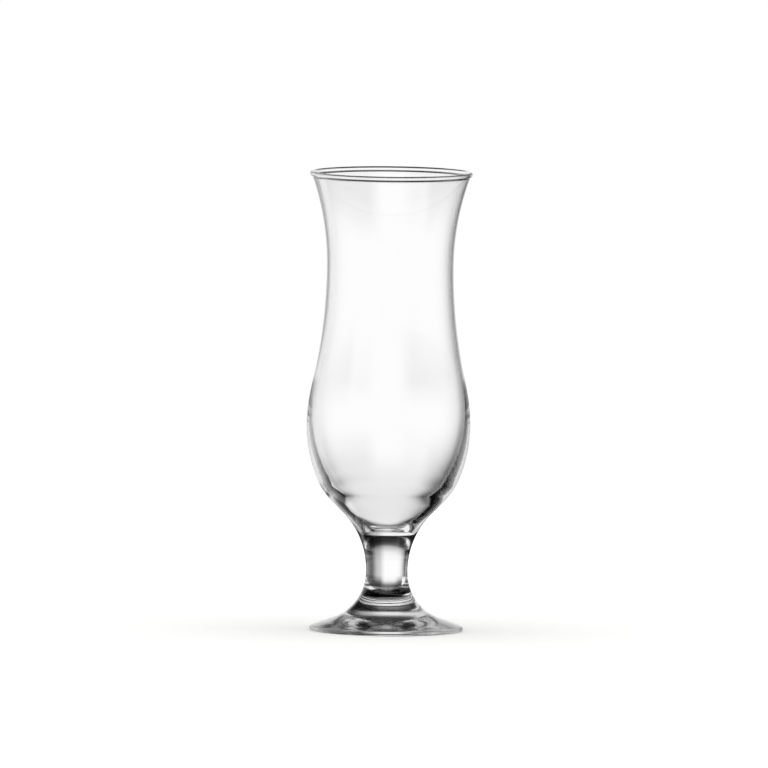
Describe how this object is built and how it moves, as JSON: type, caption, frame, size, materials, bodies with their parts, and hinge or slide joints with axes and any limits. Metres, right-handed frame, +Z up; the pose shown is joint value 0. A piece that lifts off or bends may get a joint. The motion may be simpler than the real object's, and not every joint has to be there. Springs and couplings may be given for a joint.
{
  "type": "tulip glass",
  "caption": "Clear tulip-shaped cocktail glass: flared beaded rim, drawn-in waist, full belly, short solid stem and a round foot to stand on.",
  "frame": {"origin": "centre of the resting ring under the foot, on the surface the glass stands on", "axes": "+Z up along the axis of the glass; the glass is round, so +X and +Y are free, and the pictured side faces -Y"},
  "size_m": [0.0748, 0.0748, 0.21],
  "materials": {
    "clear_glass": "clear soda-lime glass, fire-polished and smooth"
  },
  "bodies": {
    "root": {"bowl": "clear_glass", "stem": "clear_glass", "foot": "clear_glass"}
  },
  "joints": []
}
